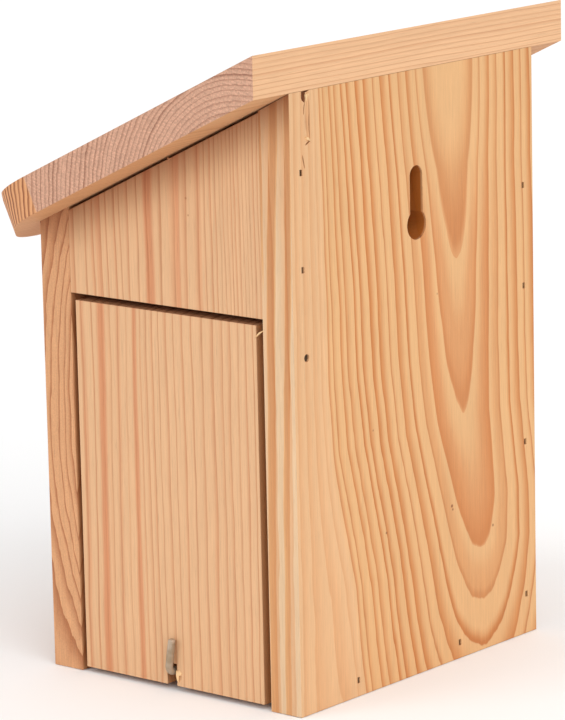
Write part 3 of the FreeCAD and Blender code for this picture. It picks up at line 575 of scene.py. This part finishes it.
# Stripe edges are y + 140 mm, from the front toward the back.
PANEL_EDGES = [0, 8, 16, 24, 30.5, 36.9, 40.6, 44.3, 47.5, 52.2, 54.8, 58.5, 63.5, 68.5, 75.5, 82.5, 88.5,
               94.7, 98, 101.2, 103.4, 105.6, 107.4, 109.6, 111.2, 113, 115.1, 116.7, 118.6, 120.2, 122.3,
               124.5, 127, 130, 134, 140, 150, 160]
DOOR_EDGES = [0, 9, 18, 26, 32.3, 37.5, 42.5, 47, 51.3, 56, 60.2, 63.7, 67, 70.2, 73.2, 77.3, 80.9, 85.5,
              90.1, 95.2, 100.8, 105.3, 108.8, 112.8, 116.3, 119.8, 124, 130, 140, 150, 160]
PANEL_BANDS = [(-71.0, 3.4, 0.75), (-56.5, 1.8, 0.6), (-97.5, 1.6, 0.35), (-45.3, 1.4, 0.35)]
DOOR_BANDS = [(-98.2, 3.0, 0.75), (-79.8, 1.8, 0.7), (-88.7, 1.3, 0.3), (-107.7, 1.6, 0.4)]

MATS = {
    "back_board": back_wood(),
    "front_board": front_wood(),
    "roof_board": roof_wood(),
    "upper_side_panel": side_wood("wood_upper_side_panel", PANEL_EDGES, 5.0, PEACH, tint=0.055,
                                  line_amount=0.55, contrast=0.85, bands=PANEL_BANDS,
                                  flecks=[(-51.9, 197.1, 0.7, 0.6), (-50.9, 190.6, 0.6, 0.5)]),
    "side_door": side_wood("wood_side_door", DOOR_EDGES, 7.5, PEACH, tint=0.04, line_amount=0.35,
                           contrast=0.8, bands=DOOR_BANDS),
    "side_wall": plain_wood("wood_side_wall", 13.0, GOLD, spacing=4.4, centre=(-120.0, -70.0)),
    "floor_board": plain_wood("wood_floor_board", 17.0, PEACH, axis="x", spacing=3.6, centre=(-60.0, 60.0)),
}
HOOK_MAT = metal("zinc_wire", srgb(184, 166, 146), 0.36, srgb(158, 138, 112), 2.0, 0.35)
NAIL_MAT = metal("nail_steel", srgb(92, 70, 50), 0.5, srgb(58, 40, 26), 4.0, 0.4)


# --------------------------------------------------------------------- boards
def link(obj):
    scene.collection.objects.link(obj)
    return obj


def use_material(obj, mat):
    obj.data.materials.clear()
    obj.data.materials.append(mat)


def apply_modifiers(obj):
    deps = bpy.context.evaluated_depsgraph_get()
    deps.update()
    mesh = bpy.data.meshes.new_from_object(obj.evaluated_get(deps))
    obj.modifiers.clear()
    old = obj.data
    obj.data = mesh
    bpy.data.meshes.remove(old)


def lump(name, at, size, turn=0.0, axis="X", seed=1, rough=0.25, detail=3):
    """A rough closed lump, used to cut torn holes."""
    bm = bmesh.new()
    bmesh.ops.create_icosphere(bm, subdivisions=detail, radius=1.0)
    rnd = random.Random(seed)
    waves = [(Vector((rnd.uniform(-1, 1), rnd.uniform(-1, 1), rnd.uniform(-1, 1))) * rnd.uniform(2, 6),
              rnd.uniform(0, 6.28)) for _ in range(7)]
    for v in bm.verts:
        k = sum(math.sin(v.co.dot(w) + p) for w, p in waves) / len(waves)
        v.co *= 1.0 + rough * k
    rot = Matrix.Rotation(turn, 4, axis)
    for v in bm.verts:
        v.co = rot @ Vector((v.co.x * size[0], v.co.y * size[1], v.co.z * size[2]))
        v.co = W(*at) + v.co * MM
    me = bpy.data.meshes.new(name)
    bm.to_mesh(me)
    bm.free()
    return link(bpy.data.objects.new(name, me))


def board(node, width=0.45, cuts=(), body="house", segments=3, settle=None):
    """The board of a CAD node with eased edges and torn places."""
    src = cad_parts[node]
    bm = bmesh.new()
    bm.from_mesh(src.data)
    bmesh.ops.remove_doubles(bm, verts=bm.verts, dist=2e-6)
    bmesh.ops.dissolve_limit(bm, angle_limit=math.radians(0.6), verts=bm.verts, edges=bm.edges)
    bmesh.ops.recalc_face_normals(bm, faces=bm.faces)
    if settle:
        # the whole top face is lowered (or raised) a hair and stays flat
        for v in bm.verts:
            y, z = v.co.y / MM - YB, v.co.z / MM
            drop = y * math.sin(ROOF_TILT) - (z - ROOF_Z) * math.cos(ROOF_TILT)
            if drop < 3.0:
                v.co.z -= (settle[1] + (settle[0] - settle[1]) * -y / 15.0) * MM
    me = bpy.data.meshes.new(node + "_look")
    bm.to_mesh(me)
    bm.free()
    obj = link(bpy.data.objects.new(node + "_look", me))
    bev = obj.modifiers.new("ease", "BEVEL")
    bev.width = width * MM
    bev.segments = segments
    bev.limit_method = "ANGLE"
    bev.angle_limit = math.radians(40)
    bev.use_clamp_overlap = True
    bev.harden_normals = False
    for i, cutter in enumerate(cuts):
        mod = obj.modifiers.new("cut%d" % i, "BOOLEAN")
        mod.operation = "DIFFERENCE"
        mod.solver = "EXACT"
        mod.object = cutter
    apply_modifiers(obj)
    for cutter in cuts:
        bpy.data.objects.remove(cutter, do_unlink=True)
    for p in obj.data.polygons:
        p.use_smooth = True
    obj.data.set_sharp_from_angle(angle=math.radians(35))
    even = obj.modifiers.new("even", "WEIGHTED_NORMAL")
    even.mode = "FACE_AREA"
    even.weight = 100
    even.keep_sharp = True
    apply_modifiers(obj)
    use_material(obj, MATS[node])
    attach(obj, body)
    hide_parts(node)
    return obj


def sliver(name, plane, at, points, height, mat, body="house", seed=1):
    """A lifted chip or splinter: a thin faceted wedge standing on a face.
    plane "y": points are (x, z) on y = at; plane "x": points are (y, z) on x = at."""
    rnd = random.Random(seed)
    n = len(points)
    ca = sum(p[0] for p in points) / n
    cb = sum(p[1] for p in points) / n

    def place(a, b, h):
        return W(a, at + h, b) if plane == "y" else W(at + h, a, b)
    bm = bmesh.new()
    low = [bm.verts.new(place(a, b, -0.25)) for a, b in points]
    high = [bm.verts.new(place(ca + (a - ca) * 0.86, cb + (b - cb) * 0.86,
                               height * rnd.uniform(0.45, 1.0))) for a, b in points]
    top = bm.verts.new(place(ca, cb, height * 0.9))
    base = bm.verts.new(place(ca, cb, -0.3))
    for i in range(n):
        j = (i + 1) % n
        bm.faces.new((low[i], low[j], high[j], high[i]))
        bm.faces.new((high[i], high[j], top))
        bm.faces.new((low[j], low[i], base))
    bmesh.ops.recalc_face_normals(bm, faces=bm.faces)
    me = bpy.data.meshes.new(name)
    bm.to_mesh(me)
    bm.free()
    obj = link(bpy.data.objects.new(name, me))
    use_material(obj, mat)
    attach(obj, body)
    return obj


back_cuts = [
    lump("c1", (68.0, 0.4, 239.2), (1.25, 3.4, 2.5), 0.1, "Y", 3, 0.5),
    lump("c2", (66.6, 0.2, 241.2), (2.6, 2.2, 0.9), 0.1, "Y", 8, 0.5),
    lump("c3", (67.6, 0.2, 234.6), (0.42, 1.1, 2.6), -0.16, "Y", 11, 0.3),
    lump("c4", (66.13, 0.58, 229.23), (1.7, 1.08, 8.6), 0.075, "Y", 4, 0.12),
    lump("c5", (64.7, 0.1, 229.8), (0.24, 0.9, 8.8), 0.0, "Y", 14, 0.15),
    lump("c6", (68.65, 0.1, 214.6), (0.34, 1.5, 2.9), 0.24, "Y", 5, 0.25),
    lump("c7", (65.9, 0.1, 221.3), (1.7, 0.7, 0.34), 0.45, "Y", 15, 0.3),
]
board("back_board", 0.5, back_cuts, settle=(0.7, 0.1))
board("front_board", 0.5)
board("upper_side_panel", 0.32, settle=(-0.35, -0.35))
board("side_wall", 0.45)
board("floor_board", 0.4)
board("roof_board", 0.6)
board("side_door", 0.5, [lump("d1", (76.9, -61.9, 5.6), (1.1, 1.5, 1.9), 0.2, "X", 6, 0.4)], body="door")

# lifted chips and splinters, pale where the wood broke
SPLIT = plain_wood("wood_split", 31.0, dict(
    early=srgb(236, 196, 146), late=srgb(224, 176, 122), line=srgb(200, 150, 98),
    end_early=srgb(226, 184, 136), end_late=srgb(204, 158, 110)), spacing=2.0, centre=(-90.0, -90.0), cavity=0.0)
sliver("chip_back_edge", "y", 0.0, [(67.5, 223.9), (66.0, 223.6), (64.4, 222.1), (64.5, 221.6), (66.0, 222.3), (67.2, 222.6)],
       0.7, SPLIT, seed=2)
sliver("chip_back_top", "y", 0.0, [(66.9, 239.6), (65.2, 240.2), (64.6, 239.6), (65.6, 238.4), (66.6, 236.4)],
       0.25, SPLIT, seed=3)
sliver("chip_door_notch", "x", 76.5, [(-63.4, 8.3), (-61.6, 8.4), (-60.3, 7.5), (-60.6, 6.6), (-61.8, 6.2), (-62.1, 3.4),
                                      (-62.8, 4.0), (-63.3, 6.4)], 0.5, SPLIT, "door", 4)
sliver("splinter_door_top", "x", 76.2, [(-19.3, 146.4), (-18.6, 146.7), (-16.6, 148.3), (-14.8, 149.6), (-14.9, 149.9),
                                        (-16.9, 148.9), (-18.9, 147.2)], 0.5, SPLIT, "door", 5)
sliver("splinter_panel", "x", 76.5, [(-60.6, 212.2), (-59.5, 211.9), (-59.2, 211.3), (-60.2, 211.2)],
       0.5, MATS["upper_side_panel"], "house", 6)

use_material(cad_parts["latch_hook"], HOOK_MAT)
for name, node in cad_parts.items():
    if name.startswith("nails_") or name.startswith("door_pivot"):
        use_material(node, NAIL_MAT)


# ------------------------------------------------------------ floor and light
def make_stage():
    me = bpy.data.meshes.new("stage_floor")
    bm = bmesh.new()
    bmesh.ops.create_grid(bm, x_segments=4, y_segments=4, size=6.0)
    bm.to_mesh(me)
    bm.free()
    obj = link(bpy.data.objects.new("stage_floor", me))
    g = Graph("stage_pale")
    t = g.nt.nodes.new("ShaderNodeTexCoord")
    n = g.noise(t.outputs["Object"], 3.0, 3.0)
    g.plug(g.scale_colour((0.95, 0.95, 0.95), g.fma(g.sub(n, 0.5), 0.01, 1.0)), g.bsdf.inputs["Base Color"])
    g.bsdf.inputs["Roughness"].default_value = 0.9
    g.bsdf.inputs["Specular IOR Level"].default_value = 0.1
    use_material(obj, g.mat)
    obj.location = (0, 0, CAD_BOX[0][2] - 0.0002)


make_stage()
world = bpy.data.worlds.new("soft_room")
scene.world = world
world.use_nodes = True
world.node_tree.nodes["Background"].inputs[0].default_value = (1.0, 1.0, 1.0, 1.0)
world.node_tree.nodes["Background"].inputs[1].default_value = 0.57


def sun(name, direction, strength, spread, colour=(1, 1, 1)):
    """A very wide sun: the same soft light at every distance."""
    data = bpy.data.lights.new(name, "SUN")
    data.energy = strength
    data.angle = math.radians(spread)
    data.color = colour
    obj = link(bpy.data.objects.new(name, data))
    obj.rotation_euler = Vector(direction).to_track_quat("Z", "Y").to_euler()
    return obj


sun("key", (0.78, -0.38, 0.40), 0.765, 32.0)
sun("back_fill", (0.35, 0.75, 0.55), 1.22, 55.0)
sun("high", (-0.1, 0.1, 1.0), 0.68, 70.0)
